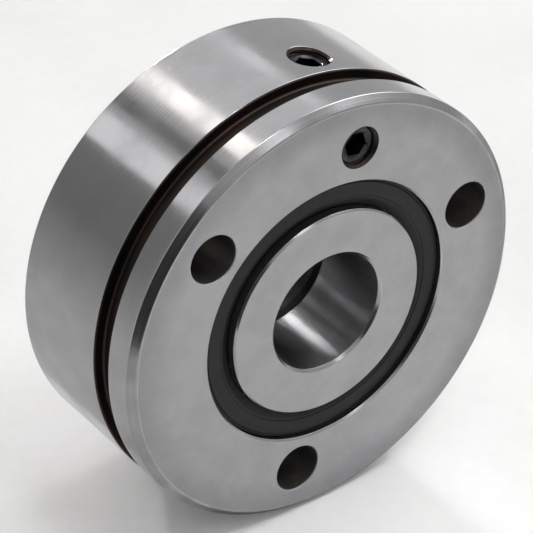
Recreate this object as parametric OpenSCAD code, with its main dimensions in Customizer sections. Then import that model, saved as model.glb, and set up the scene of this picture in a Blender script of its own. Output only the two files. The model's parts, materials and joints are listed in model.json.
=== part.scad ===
// Double-row axial angular contact ball bearing with a bolt-on outer ring
// Drawn with its axis on Z and its front face up, then stood on its rim:
// axis along Y, front face towards -Y, origin at the centre of the bearing

/* [Rings] */
// Diameter of the shaft bore
bore_d = 17; // [15:0.5:20]
// Width of the outer ring, and of the two inner rings together
width = 25; // [24:0.5:30]
// Radial height of the space a seal closes between the rings
seal_h = 4; // [3.6:0.1:4.6]
// Wall between a seal seat and a fixing hole
seat_wall = 1.6; // [1.4:0.1:3]
// Wall between a fixing hole and the outside
rim_wall = 3.6; // [3:0.1:5]
// Chamfer on the two outside corners of the outer ring
outer_chamfer = 1; // [0.5:0.1:1.4]
// Chamfer at the two mouths of the shaft bore
bore_chamfer = 0.4; // [0.2:0.05:0.8]
// Chamfer on each inner ring where the two meet in the bore
split_chamfer = 0.6; // [0.3:0.1:1.2]
// Small edge break on the ring edges beside a seal
edge_break = 0.25; // [0.05:0.05:0.3]

/* [Fixing holes] */
// Number of fixing holes
fixing_count = 3; // [3:1:3]
// Diameter of a fixing hole
fixing_hole_d = 6.8; // [5.5:0.1:7.8]

/* [Extraction groove] */
// Width of the groove around the outer ring
groove_w = 3; // [2:0.25:4]
// Wall left between the bottom of the groove and a fixing hole
groove_floor = 2.1; // [0.9:0.1:2.6]
// Width of the lip between the groove and the front face
groove_lip = 5; // [4:0.25:6]
// Edge break on the two rims of the groove
groove_edge = 0.2; // [0.1:0.05:0.4]

/* [Balls and raceways] */
// Number of balls in a row
ball_count = 14; // [14:1:14]
// Ball diameter
ball_d = 6.35; // [6:0.05:6.6]
// Contact angle from the radial plane
contact_angle = 60; // [55:1:65]
// Raceway radius as a share of the ball diameter
conformity = 0.52; // [0.515:0.005:0.53]
// Gap between a ball and its raceways at the contact
race_gap = 0.04; // [0.03:0.01:0.06]
// Gap left between the balls and the seal seat they are fitted through
pass_gap = 0.025; // [0.01:0.005:0.05]
// How far the bore of the outer ring's rib lies outside the pitch circle
rib_rise = 0.6; // [0.4:0.1:1]
// Step from the bottom of the inner raceway to the land beside it
land_step = 0.35; // [0.2:0.05:0.6]

/* [Cages] */
// Thinnest wall of the cage between two pockets, which sets the ball circle
cage_web = 0.4817; // [0.4:0.0001:0.6]
// Gap between a ball and its pocket
pocket_gap = 0.1; // [0.05:0.01:0.15]
// Thickness of the cage's base ring over a pocket
cage_crown = 0.9; // [0.7:0.1:1.2]
// Distance from the ball centres to the base ring
cage_base_rise = 2.2; // [1.8:0.1:2.4]
// How far the prongs reach past the ball centres
cage_reach = 1.6; // [1.2:0.1:1.8]
// Gap between the cage's base ring and the outer ring
cage_guide_gap = 0.3; // [0.15:0.05:0.5]
// Gap between the cage's base ring and the inner ring's shoulder
cage_shoulder_gap = 0.7; // [0.5:0.1:1]
// Gap between the cage's base ring and the seal
cage_seal_gap = 0.5; // [0.3:0.1:0.8]
// Gap between the prongs and the inner raceway
prong_in_gap = 0.75; // [0.5:0.05:1]
// How far a pocket breaks out of the prongs under the base ring
prong_break = 0.25; // [0.2:0.05:0.4]

/* [Seals] */
// Depth of a seal below the ring faces
seal_recess = 0.8; // [0.5:0.1:1]
// Thickness of a seal
seal_t = 2; // [1.8:0.1:2.2]
// Width of the groove that holds the seal's bead
bead_w = 1; // [0.7:0.1:1.2]
// Depth of the groove that holds the seal's bead
bead_depth = 0.5; // [0.3:0.1:0.7]
// Gap between the seal's rubber and the outer ring
seal_gap = 0.02; // [0.01:0.01:0.05]
// Running gap between the seal lip and the inner ring
lip_gap = 0.05; // [0.02:0.01:0.08]
// Depth of the lip's tip below the seal's front
lip_drop = 0.8; // [0.6:0.1:1]
// Radial length of the sloping lip
lip_slope = 1.2; // [1:0.1:1.4]
// Radial length of the lip's back
lip_root = 0.7; // [0.5:0.1:0.9]
// Thickness of the seal's steel plate
plate_t = 0.5; // [0.4:0.05:0.7]
// Rubber left between the plate and the outer ring
plate_edge = 0.4; // [0.3:0.05:0.5]
// Rubber left between the plate and the back of the lip
plate_lip_edge = 0.4; // [0.3:0.05:0.5]
// Bond line between the plate and the rubber
bond_gap = 0.01; // [0.01:0.01:0.03]

/* [Lubrication holes] */
// Direction of the two lubrication holes, from X towards the top
lube_angle = 78.6; // [60:0.1:100]
// Thread diameter of a lubrication hole
thread_d = 6; // [5:0.5:6]
// Depth of a threaded hole
thread_depth = 7; // [6.5:0.1:7.4]
// Diameter of the drilling that leads to the balls
drill_d = 2.5; // [2:0.1:3]
// Length of a grub screw
screw_len = 5; // [4:0.25:5.5]
// Depth of a grub screw below the surface
screw_recess = 0.8; // [0.4:0.1:1]
// Gap between a grub screw and its hole
screw_gap = 0.03; // [0.01:0.01:0.05]
// Chamfer on both ends of a grub screw
screw_chamfer = 0.5; // [0.3:0.1:0.8]
// Width across the flats of the hexagon socket
socket_w = 3; // [2.5:0.1:3.2]
// Depth of the hexagon socket
socket_depth = 2.5; // [2:0.1:3]

/* [Hidden] */
$fn = 96;
half_w = width / 2;
ball_r = ball_d / 2;
pocket_r = ball_r + pocket_gap;
fixing_hole_r = fixing_hole_d / 2;
// Small overrun that lets one cut pass clear through another
over = 0.5;

// Ball circle: the balls lie side by side with the cage's walls between them
ball_step = 360 / ball_count;
pitch_r = (2 * pocket_r + cage_web) / (2 * sin(ball_step / 2));

// Radii of the rings, from the ball circle: a ball just passes through the seal seat
bore_r = bore_d / 2;
seat_r = pitch_r + ball_r + pass_gap;
shoulder_r = seat_r - seal_h;
fixing_circle_r = seat_r + seat_wall + fixing_hole_r;
groove_r = fixing_circle_r + fixing_hole_r + groove_floor;
outer_r = fixing_circle_r + fixing_hole_r + rim_wall;

// Heights of the groove in the outside of the outer ring
groove_front = half_w - groove_lip;
groove_back = groove_front - groove_w;

// Seal heights
seal_top = half_w - seal_recess;
seal_end = seal_top - seal_t;
bead_mid = seal_end + seal_t / 2;

// Rows of balls, as far apart as the cages and seals allow
cage_end = seal_end - cage_seal_gap;
row_offset = cage_end - cage_crown - pocket_r;

// Raceway circles, pushed off the ball centre along the contact line
race_r = conformity * ball_d;
race_shift = race_r - ball_r - race_gap;
contact_line = [cos(contact_angle), -sin(contact_angle)];
ball_at = [pitch_r, row_offset];
inner_race_at = ball_at + race_shift * contact_line;
outer_race_at = ball_at - race_shift * contact_line;
rib_r = pitch_r + rib_rise;
land_r = inner_race_at[0] - race_r + land_step;

// Half the width of a raceway at a distance from its centre plane
function race_half(distance) = sqrt(pow(race_r, 2) - pow(distance, 2));

// Cage heights and radii
cage_base = row_offset + cage_base_rise;
prong_end = row_offset - cage_reach;
cage_out_r = seat_r - cage_guide_gap;
cage_in_r = shoulder_r + cage_shoulder_gap;
prong_out_r = pitch_r + sqrt(pow(pocket_r, 2) - pow(cage_base_rise, 2)) - prong_break;
prong_in_r = inner_race_at[0] - race_half(cage_base - inner_race_at[1]) + prong_in_gap;

// Seal radii
seal_r = seat_r - seal_gap;
lip_r = shoulder_r + lip_gap;
plate_out_r = seal_r - plate_edge;
plate_in_r = lip_r + lip_root + plate_lip_edge;
plate_top = seal_end + plate_t;

// Screw sizes
screw_r = thread_d / 2 - screw_gap;
fixing_step = 360 / fixing_count;

// Names of the two rows, front first
ROWS = ["front", "rear"];
function two_digits(n) = n < 10 ? str("0", n) : str(n);
function ball_name(row, i) = str(ROWS[row], "_ball_", two_digits(i + 1));

BALL_NODES = [for (row = [0, 1], i = [0 : ball_count - 1]) ball_name(row, i)];
RING_NODES = ["outer_ring", "inner_ring_front", "inner_ring_rear"];
CAGE_NODES = ["front_cage", "rear_cage"];
SEAL_NODES = ["front_seal_rubber", "front_seal_plate", "rear_seal_rubber", "rear_seal_plate"];
SCREW_NODES = ["axial_lube_screw", "radial_lube_screw"];

// Stands the drawing on its rim, front face towards -Y
module stood() rotate([90, 0, 0]) children();

// Row 0 is drawn as it is, row 1 is its mirror image behind the middle plane
module in_row(row) mirror([0, 0, row]) children();

// Round groove a row of balls runs in
module raceway(centre) rotate_extrude() translate(centre) circle(race_r);

// Groove for a seal's bead, cut outwards from the seal seat
module bead_groove()
    translate([0, 0, bead_mid - bead_w / 2]) cylinder(h = bead_w, r = seat_r + bead_depth);

// Plain turned blank of the outer ring
module outer_blank() rotate_extrude() polygon([
    [seat_r + edge_break, half_w],
    [outer_r - outer_chamfer, half_w],
    [outer_r, half_w - outer_chamfer],
    [outer_r, groove_front + groove_edge],
    [outer_r - groove_edge, groove_front],
    [groove_r, groove_front],
    [groove_r, groove_back],
    [outer_r - groove_edge, groove_back],
    [outer_r, groove_back - groove_edge],
    [outer_r, outer_chamfer - half_w],
    [outer_r - outer_chamfer, -half_w],
    [seat_r + edge_break, -half_w],
    [seat_r, edge_break - half_w],
    [seat_r, -row_offset],
    [rib_r, -row_offset],
    [rib_r, row_offset],
    [seat_r, row_offset],
    [seat_r, half_w - edge_break]
]);

// Threaded hole from a surface, with a drilling on its axis that runs on to a total depth
module lube_hole(depth) {
    translate([0, 0, -thread_depth]) cylinder(h = thread_depth + over, d = thread_d);
    translate([0, 0, -depth]) cylinder(h = depth, d = drill_d);
}

// Place of the axial lubrication hole, on the front face
module at_axial_lube()
    rotate([0, 0, lube_angle]) translate([fixing_circle_r, 0, half_w]) children();

// Place of the radial lubrication hole, on the outside
module at_radial_lube()
    rotate([0, 0, lube_angle]) translate([outer_r, 0, 0]) rotate([0, 90, 0]) children();

// Fixing holes through the outer ring, placed evenly between the lubrication holes
module fixing_holes()
    for (i = [0 : fixing_count - 1])
        rotate([0, 0, lube_angle + (i + 0.5) * fixing_step])
            translate([fixing_circle_r, 0, -half_w - over])
                cylinder(h = width + 2 * over, r = fixing_hole_r);

// Outer ring: raceways, seal seats, fixing holes, extraction groove, lubrication holes
module outer_ring() color("silver") difference() {
    outer_blank();
    for (row = [0, 1]) in_row(row) {
        raceway(outer_race_at);
        bead_groove();
    }
    fixing_holes();
    at_axial_lube() lube_hole(half_w);
    at_radial_lube() lube_hole(outer_r - rib_r + over);
}

// One of the two inner rings, which meet at the middle plane
module inner_ring(row) color("lightgray") in_row(row) difference() {
    rotate_extrude() polygon([
        [bore_r + split_chamfer, 0],
        [bore_r, split_chamfer],
        [bore_r, half_w - bore_chamfer],
        [bore_r + bore_chamfer, half_w],
        [shoulder_r - edge_break, half_w],
        [shoulder_r, half_w - edge_break],
        [shoulder_r, row_offset],
        [land_r, row_offset],
        [land_r, 0]
    ]);
    raceway(inner_race_at);
}

// Turn of a ball about the axis: the front row starts at the lubrication holes
// and the rear row half a step further on
function ball_turn(row, i) = lube_angle + (i + row / 2) * ball_step;

// Snap cage of one row: a base ring with prongs between the balls
// A pocket's ball is turned so that its poles lie in the open sides
module cage(row) color("tan") in_row(row) difference() {
    rotate_extrude() polygon([
        [cage_in_r, cage_end],
        [cage_out_r, cage_end],
        [cage_out_r, cage_base],
        [prong_out_r, cage_base],
        [prong_out_r, prong_end],
        [prong_in_r, prong_end],
        [prong_in_r, cage_base],
        [cage_in_r, cage_base]
    ]);
    for (i = [0 : ball_count - 1])
        rotate([0, 0, ball_turn(row, i)])
            translate([pitch_r, 0, row_offset])
                rotate([0, 90, 0]) sphere(r = pocket_r);
}

// One ball of a row
module ball(row, i) color("gainsboro")
    in_row(row) rotate([0, 0, ball_turn(row, i)])
        translate([pitch_r, 0, row_offset]) sphere(r = ball_r);

// Rubber of a seal: bead in the outer ring, sloping lip on the inner ring
module seal_rubber(row) color("dimgray") in_row(row) rotate_extrude() polygon([
    [lip_r + lip_slope, seal_top],
    [seal_r, seal_top],
    [seal_r, bead_mid + bead_w / 2 - seal_gap],
    [seal_r + bead_depth, bead_mid + bead_w / 2 - seal_gap],
    [seal_r + bead_depth, bead_mid - bead_w / 2 + seal_gap],
    [seal_r, bead_mid - bead_w / 2 + seal_gap],
    [seal_r, seal_end],
    [plate_out_r + bond_gap, seal_end],
    [plate_out_r + bond_gap, plate_top + bond_gap],
    [plate_in_r - bond_gap, plate_top + bond_gap],
    [plate_in_r - bond_gap, seal_end],
    [lip_r + lip_root, seal_end],
    [lip_r, seal_top - lip_drop]
]);

// Steel plate let into the back of a seal
module seal_plate(row) color("slategray") in_row(row)
    translate([0, 0, seal_end]) difference() {
        cylinder(h = plate_t, r = plate_out_r);
        translate([0, 0, -over]) cylinder(h = plate_t + 2 * over, r = plate_in_r);
    }

// Grub screw with a hexagon socket, its top below the surface it is set in
module lube_screw() color("darkslategray") translate([0, 0, -screw_recess]) difference() {
    rotate_extrude() polygon([
        [0, 0],
        [screw_r - screw_chamfer, 0],
        [screw_r, -screw_chamfer],
        [screw_r, screw_chamfer - screw_len],
        [screw_r - screw_chamfer, -screw_len],
        [0, -screw_len]
    ]);
    translate([0, 0, -socket_depth])
        cylinder(h = socket_depth + over, d = socket_w / cos(30), $fn = 6);
}

stood() outer_ring();
stood() inner_ring(0);  // inner_ring_front
stood() inner_ring(1);  // inner_ring_rear
stood() cage(0);  // front_cage
stood() cage(1);  // rear_cage
stood() seal_rubber(0);  // front_seal_rubber
stood() seal_plate(0);  // front_seal_plate
stood() seal_rubber(1);  // rear_seal_rubber
stood() seal_plate(1);  // rear_seal_plate
stood() at_axial_lube() lube_screw();  // axial_lube_screw
stood() at_radial_lube() lube_screw();  // radial_lube_screw
for (row = [0, 1], i = [0 : ball_count - 1])
    stood() ball(row, i);
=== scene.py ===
import json
import math
from types import SimpleNamespace

import bpy
import numpy as np
from mathutils import Matrix, Vector


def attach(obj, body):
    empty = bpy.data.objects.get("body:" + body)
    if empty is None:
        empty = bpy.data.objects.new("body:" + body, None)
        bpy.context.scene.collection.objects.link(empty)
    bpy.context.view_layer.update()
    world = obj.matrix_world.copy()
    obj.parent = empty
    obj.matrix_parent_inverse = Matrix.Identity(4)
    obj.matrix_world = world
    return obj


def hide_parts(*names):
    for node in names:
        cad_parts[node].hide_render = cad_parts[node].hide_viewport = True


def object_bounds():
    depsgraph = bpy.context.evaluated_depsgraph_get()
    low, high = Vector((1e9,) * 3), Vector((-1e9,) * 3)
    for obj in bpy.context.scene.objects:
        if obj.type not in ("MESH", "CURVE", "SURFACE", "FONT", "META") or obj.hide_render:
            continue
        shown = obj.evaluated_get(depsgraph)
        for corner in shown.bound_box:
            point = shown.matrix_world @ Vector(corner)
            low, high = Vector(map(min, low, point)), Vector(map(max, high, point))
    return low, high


bl_info = {
    "name": "Axial Angular Contact Bearing",
    "version": (1, 0, 0),
    "blender": (4, 5, 0),
    "location": "View3D > Sidebar > Bearing",
    "description": "Dresses the bearing's solids in ground steel and rubber and lights them",
    "category": "Add Mesh",
}

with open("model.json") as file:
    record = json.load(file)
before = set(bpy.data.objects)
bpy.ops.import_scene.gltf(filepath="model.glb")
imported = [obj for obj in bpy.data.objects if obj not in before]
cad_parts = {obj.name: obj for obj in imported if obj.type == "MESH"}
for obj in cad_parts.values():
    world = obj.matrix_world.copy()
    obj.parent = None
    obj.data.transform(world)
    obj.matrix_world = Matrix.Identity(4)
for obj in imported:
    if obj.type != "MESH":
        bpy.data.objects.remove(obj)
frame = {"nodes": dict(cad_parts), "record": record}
CAD_BOX = [list(corner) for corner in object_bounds()]
DIMS = {mount["name"]: mount["dims"] for mount in frame["record"]["mounts"]}
MM = 0.001


def linear(code):
    """An sRGB hex colour as linear RGB: each channel taken back through the sRGB curve."""
    channels = np.array([int(code[i : i + 2], 16) / 255 for i in (1, 3, 5)])
    low, high = channels / 12.92, ((channels + 0.055) / 1.055) ** 2.4
    return tuple(np.where(channels <= 0.04045, low, high).tolist())


def length(name, description, mm):
    """A length property with its default given in millimetres."""
    return bpy.props.FloatProperty(
        name=name, description=description, default=mm * MM, min=0.0, precision=5,
        subtype="DISTANCE", unit="LENGTH",
    )


def angle(name, description, degrees):
    """An angle property with its default given in degrees."""
    return bpy.props.FloatProperty(
        name=name, description=description, default=math.radians(degrees),
        subtype="ANGLE", unit="ROTATION",
    )


def colour(name, description, code):
    """A colour property with its default given as an sRGB hex value."""
    return bpy.props.FloatVectorProperty(
        name=name, description=description, default=linear(code), min=0.0, max=1.0,
        size=3, subtype="COLOR",
    )


class BearingSizes(bpy.types.PropertyGroup):
    """Sizes of the rings, seals and screws"""

    bore_r: length("Bore", "Radius of the shaft bore", DIMS["shaft_bore"]["r_mm"])
    outer_r: length("Outside", "Radius of the outer ring", min(CAD_BOX[1][0], CAD_BOX[1][2]) / MM)
    half_w: length("Half width", "Half the width of the rings", CAD_BOX[1][1] / MM)
    seat_r: length("Seal seat", "Radius of the outer ring's bore at a seal", 19.0)
    shoulder_r: length("Shoulder", "Radius of an inner ring under a seal lip", 15.0)
    outer_chamfer: length("Outer chamfer", "Chamfer on the outer ring's corners", 1.0)
    bore_chamfer: length("Bore chamfer", "Chamfer at the mouths of the bore", 0.4)
    split_chamfer: length("Split chamfer", "Chamfer where the inner rings meet", 0.6)
    # Painted shade: the rear ring's bore is drawn black over this width beside the split
    shade_band_w: length("Black band", "Width of the black band beside the split in the rear ring", 3.0)
    edge_break: length("Edge break", "Edge break beside a seal", 0.25)
    groove_lip: length("Groove lip", "Width of the lip in front of the groove", 5.0)
    groove_w: length("Groove width", "Width of the extraction groove", 3.0)
    groove_r: length("Groove bottom", "Radius of the bottom of the groove", 29.5)
    groove_edge: length("Groove edge", "Edge break on the groove's rims", 0.2)
    face_round: length("Face rounding", "Rounding between the outer ring's faces and chamfers", 0.5)
    side_round: length("Outside rounding", "Rounding between the outside and its chamfers", 0.2)
    groove_round: length("Groove rounding", "Rounding in the corners of the groove", 0.4)
    rim_round: length("Rim rounding", "Rounding on the rims of the groove and the tapped holes", 0.1)
    break_round: length("Break rounding", "Rounding on the edges beside and behind a seal", 0.05)
    split_round: length("Split rounding", "Rounding on an inner ring's corner at the split", 0.06)
    shoulder_round: length("Shoulder rounding", "Rounding on the edges of a shoulder", 0.08)
    mouth_round: length("Mouth rounding", "Rounding between an inner ring's face and its chamfer", 0.12)
    bore_round: length("Bore rounding", "Rounding between the bore and its chamfers", 0.15)
    fixing_r: length("Fixing hole", "Radius of a fixing hole", DIMS["fixing_holes"]["hole_r_mm"])
    circle_d: length("Hole circle", "Diameter of the circle of holes", DIMS["fixing_holes"]["pcd_mm"])
    hole_edge: length("Hole edge", "Rounding on the rim of a fixing hole", 0.18)
    hole_rim: length("Hole rim", "Width of the flat drawn round a hole's mouth", 0.4)
    row_offset: length("Row offset", "Distance of a row of balls from the middle", 5.025)
    pitch_r: length("Ball circle", "Radius of the circle of ball centres", 15.8)
    race_r: length("Raceway", "Radius of a raceway's section", 3.302)
    race_shift: length("Raceway shift", "Shift of a raceway from the ball centre", 0.087)
    rib_r: length("Rib", "Radius of the rib between the raceways", 16.4)
    land_r: length("Land", "Radius of an inner ring beside its raceway", 12.8915)
    seal_recess: length("Seal recess", "Depth of a seal below the faces", 0.8)
    seal_t: length("Seal thickness", "Thickness of a seal", 2.0)
    seal_rim: length("Seal rim", "Depth of the step along a seal's two edges", 0.15)
    rim_out: length("Outer rim", "Width of the step along a seal's outer edge", 0.35)
    rim_in: length("Inner rim", "Width of the step along a seal's lip", 0.25)
    rim_slope: length("Rim slope", "Width of the slope up from a step", 0.15)
    crest_round: length("Crest rounding", "Rounding on a seal's raised edges", 0.12)
    foot_round: length("Foot rounding", "Rounding at the foot of a step", 0.06)
    bead_round: length("Bead rounding", "Rounding on a seal's bead and at its lip", 0.15)
    bead_w: length("Bead width", "Width of the groove for the seal's bead", 1.0)
    bead_depth: length("Bead depth", "Depth of the groove for the seal's bead", 0.5)
    seal_gap: length("Seal gap", "Gap between the rubber and the outer ring", 0.02)
    lip_gap: length("Lip gap", "Gap between the seal lip and the inner ring", 0.05)
    lip_slope: length("Lip slope", "Radial length of the sloping lip", 1.2)
    lip_drop: length("Lip drop", "Depth of the lip's tip below the seal's front", 0.8)
    lip_root: length("Lip root", "Radial length of the lip's back", 0.7)
    plate_edge: length("Plate edge", "Rubber left beside the plate", 0.4)
    plate_t: length("Plate thickness", "Thickness of the plate in a seal's back", 0.5)
    bond_gap: length("Bond line", "Gap between the plate and the rubber", 0.01)
    thread_r: length("Thread", "Radius of a lubrication hole", 3.0)
    thread_in: length("Thread depth", "Depth of a thread's groove", 0.38)
    thread_depth: length("Hole depth", "Depth of a lubrication hole", 7.0)
    thread_past: length("Thread end", "Length of a hole's thread past its screw's head", 0.1)
    thread_step: length("Thread step", "Length of the slope from a thread to the wall below", 0.05)
    drill_round: length("Drill rounding", "Rounding at the shoulder of a drill point", 0.3)
    pitch: length("Thread pitch", "Distance between two turns of a thread", 1.0)
    screw_gap: length("Screw gap", "Gap between a grub screw and its hole", 0.03)
    screw_len: length("Screw length", "Length of a grub screw", 5.0)
    screw_recess: length("Screw recess", "Depth of a grub screw below the surface", 0.8)
    screw_chamfer: length("Screw chamfer", "Chamfer on a grub screw's ends", 0.5)
    screw_round: length("Screw rounding", "Rounding on the chamfers of a grub screw", 0.08)
    screw_thread: length("Screw thread", "Depth of a grub screw's thread", 0.5)
    socket_w: length("Socket", "Width across the flats of the socket", 3.0)
    socket_depth: length("Socket depth", "Depth of the socket", 2.5)
    mouth_depth: length("Socket mouth", "Depth of the countersink round the socket", 0.2)
    point_depth: length("Socket point", "Depth of the drill point under the socket", 0.5)
    lube_angle: angle("Lubrication holes", "Direction of the lubrication holes, from X to Z", 78.6)


class BearingFinishes(bpy.types.PropertyGroup):
    """Colours of the finishes"""

    steel: colour("Ground steel", "Hardened steel, ground round the axis", "#bcbcbe")
    steel_dull: colour("Dull ground steel", "Ground steel under a film of oil", "#b3b3b5")
    face: colour("Face steel", "Hardened steel, face ground", "#a9a9ab")
    face_dull: colour("Dull face steel", "Face-ground steel under a film of oil", "#a4a4a6")
    edge: colour("Edges", "Steel rubbed bright along an edge", "#b6b6b8")
    chamfer: colour("Chamfers", "Turned steel of the chamfers", "#aeaeb0")
    chamfer_dull: colour("Dull chamfers", "Turned steel, scaled by hardening", "#a0a0a2")
    oiled: colour("Oiled steel", "Groove and tapped holes under dried oil", "#34302e")
    oil_tint: colour("Oil tint", "Brown of the dried oil", "#3e312c")
    # The scaled colours also paint shade black into the rear ring's bore beside the split
    scaled: colour("Scaled steel", "Turned steel left black by hardening", "#2f2f30")
    scaled_dull: colour("Dull scaled steel", "Black scale under dried oil", "#373534")
    drilled: colour("Drilled steel", "Drilled wall, grey from hardening", "#757473")
    drilled_brown: colour("Drilled scale", "Faint brown patches on a drilled wall", "#7f7873")
    bore: colour("Bore steel", "Honed steel of the shaft bore", "#8e8e90")
    bore_dull: colour("Dull bore steel", "Honed steel under a film of oil", "#828284")
    rubber: colour("Seal rubber", "Black nitrile rubber", "#131314")
    rubber_bloom: colour("Rubber bloom", "Grey bloom on the moulded rubber", "#1f1f21")
    oxide: colour("Black oxide", "Black oxide on a screw", "#38383b")
    oxide_worn: colour("Worn oxide", "Screw steel where the oxide is thin", "#4e4e51")
    ball: colour("Ball steel", "Lapped chromium steel", "#c9c9cb")
    ball_dull: colour("Dull ball steel", "Lapped steel under grease", "#bdbdbc")
    nylon: colour("Cage nylon", "Glass-filled nylon, natural", "#cdbb92")
    nylon_dull: colour("Dull cage nylon", "Glass fibres near the surface", "#bca97f")
    sheet: colour("Plate steel", "Cold-rolled strip", "#9c9c9e")
    sheet_dull: colour("Dull plate steel", "Cold-rolled strip under oil", "#868688")
    floor: colour("Floor", "Matt white paper", "#f9f9f8")
    floor_shade: colour("Floor fibre", "Paper fibre, a shade darker", "#f5f5f3")
    card: colour("Grey card", "Studio card that the outside mirrors", "#898989")
    flag: colour("Black card", "Studio card that the front chamfer mirrors", "#363636")
    warm: colour("Warm lamp", "Light of the brightest strip on the outside", "#fff7ef")


def settings(group):
    """A property group as plain values: lengths in millimetres, angles in radians, colours linear."""
    values = {}
    for key in type(group).__annotations__:
        value = getattr(group, key)
        if group.bl_rna.properties[key].subtype == "DISTANCE":
            value = round(value / MM, 5)
        values[key] = value if isinstance(value, float) else tuple(value)
    return SimpleNamespace(**values)


# Surfaces. A place is an origin, two directions across an axis and the direction along it.
# A strip is a piece of a section: points, normals, zone, wear. A patch is a strip's surface.

X, Y, Z = np.eye(3)
BEARING_AXIS = (np.zeros(3), X, Z, Y)
TURNS = 360  # points round a ring
FIELD = 12  # points from a hole's middle to the edge of its field, round the axis
FACE_ROWS = 11  # rows of points across a face
BARREL_ROWS = 9  # rows of points along the field of the radial hole
PITCH_ROWS = 16  # rows of points to a thread's pitch
LEAST_ROWS = 9  # fewest rows of points on a thread
FLAT_POINTS = 11  # points along a flat of a socket
SOCKET_ROWS = 4  # rows of points on a socket's mouth and bottom
WELD_STEPS = 1e4  # steps to a millimetre, within which points become one

# An angle and shares that fix a shape
CONTACT_ANGLE = math.radians(60.0)  # of a ball's contact line from the middle plane
THREAD_FADE = 0.2  # of a pitch, over which a thread fades out
HOLE_THREAD = 0.9  # of a thread's depth, taken by the groove in a hole
DRILL_POINT = 0.58  # depth of a drill point over its radius
SOCKET_MOUTH = 0.64  # radius of a socket's countersink over the width of the socket
SOCKET_POINT = 0.4  # radius of the drill point over the width of the socket


def unit(vectors):
    """Each vector over its own length."""
    return vectors / np.maximum(np.linalg.norm(vectors, axis=-1, keepdims=True), 1e-12)


def patch(points, normals, zone, worn=0.0, closed=True):
    """A grid of points and normals with one finish, whose rows close on themselves or stay open."""
    wear = np.broadcast_to(np.reshape(worn, (-1, 1)), points.shape[:2])
    normals = np.broadcast_to(normals, points.shape)
    return SimpleNamespace(points=points, normals=normals, zone=zone, wear=wear, closed=closed)


def turned(radius, height, turn):
    """Points at a radius from the bearing's axis, a height along it and a turn from X to Z."""
    radius, height, turn = np.broadcast_arrays(radius, height, turn)
    return np.stack([radius * np.cos(turn), height, radius * np.sin(turn)], -1)


def section(corners, radii, zones, centres=None, steps=4, arc_steps=20):
    """Strips of a section in (radius, height), walked with the material on its left.

    A corner becomes an arc of its radius that starts a tangent length before the corner: radius
    times the tangent of half the turn. A side with a centre is an arc about it, walked clockwise.
    There is one zone for each side, so a section with a zone less than its corners stays open.
    """
    corners, radii = np.asarray(corners, float), np.asarray(radii, float)
    ahead = unit(np.roll(corners, -1, 0) - corners)
    behind = np.roll(ahead, 1, 0)
    cross = behind[:, 0] * ahead[:, 1] - behind[:, 1] * ahead[:, 0]
    turn = np.arctan2(cross, (behind * ahead).sum(1))
    reach = (radii * np.tan(np.abs(turn) / 2))[:, None]
    start, end = corners - reach * behind, corners + reach * ahead
    bulge = (np.sign(turn) * radii)[:, None]
    share = np.linspace(0, 1, steps + 1)
    heading = np.arctan2(behind[:, 1], behind[:, 0])[:, None] + turn[:, None] * share
    right = np.stack([np.sin(heading), -np.cos(heading)], -1)
    rounds = (start - bulge * right[:, 0])[:, None] + bulge[:, None] * right
    strips = []
    for i, zone in enumerate(zones):
        j = (i + 1) % len(corners)
        if radii[i] > 0:
            strips.append((rounds[i], right[i], zone, np.sin(math.pi * share)))
        if centres and i in centres:
            centre = np.asarray(centres[i], float)
            first, last = (math.atan2(*(p - centre)[::-1]) for p in (corners[i], corners[j]))
            swing = np.linspace(first, last - 2 * math.pi * (last > first), arc_steps)
            away = np.stack([np.cos(swing), np.sin(swing)], 1)
            strips.append((centre + np.linalg.norm(corners[i] - centre) * away, -away, zone, 0.0))
        else:
            normal = np.array([ahead[i, 1], -ahead[i, 0]])
            strips.append((np.stack([end[i], start[j]]), np.stack([normal, normal]), zone, 0.0))
    return strips


def revolve(strips, around, place=BEARING_AXIS, bend=None):
    """Strips turned about a place's axis: radius across the axis, height along it.

    With bend, the mouth lies on a cylinder of its first value's radius: a point sinks by the drop,
    radius minus the root of radius squared less offset squared, fading out by the second's depth.
    """
    origin, one, two, axis = place
    out = np.cos(around)[:, None] * one + np.sin(around)[:, None] * two
    patches = []
    for flat, normal, zone, worn in strips:
        radius, height = flat[:, :1, None], flat[:, 1:, None]
        points = origin + radius * out + height * axis
        normals = normal[:, :1, None] * out + normal[:, 1:, None] * axis
        if bend:
            offset = (radius[..., 0] * np.cos(around))[..., None]
            level = np.sqrt(bend[0] ** 2 - offset**2)
            fade = np.clip(1 - height / bend[1], 0, 1)
            points = points + fade * (bend[0] - level) * axis
            normals = unit(normals - fade * offset / level * normal[:, 1:, None] * one)
        patches.append(patch(points, normals, zone, worn))
    return patches


def wall(place, around, radius, depth, zone, side=0.0, lean=0.0):
    """Grid about a place's axis with its own radius and depth at each point.

    Normals are the cross product of the grid's two directions, turned to face side times the way
    out from the axis plus lean times the way along it.
    """
    origin, one, two, axis = place
    radius, depth, around = np.broadcast_arrays(radius, depth, around)
    out = np.cos(around)[..., None] * one + np.sin(around)[..., None] * two
    points = origin + radius[..., None] * out + depth[..., None] * axis
    down = np.gradient(points, axis=0)
    along = np.roll(points, -1, axis=1) - np.roll(points, 1, axis=1)
    normals = unit(np.cross(down, along))
    flip = np.sign((normals * (side * out + lean * axis)).sum(-1, keepdims=True))
    return patch(points, normals * flip, zone)


def thread(place, around, radius, groove, top, bottom, pitch, zone, side):
    """Threaded wall: a cosine groove that winds once a pitch and fades out at both ends."""
    rows = max(LEAST_ROWS, round((bottom - top) / pitch * PITCH_ROWS))
    depth = np.linspace(top, bottom, rows)[:, None]
    wave = 0.5 - 0.5 * np.cos(2 * math.pi * depth / pitch - around)
    fade = np.clip(np.minimum(depth - top, bottom - depth) / (THREAD_FADE * pitch), 0, 1)
    return wall(place, around, radius - side * groove * wave * fade, depth, zone, side=side)


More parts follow.
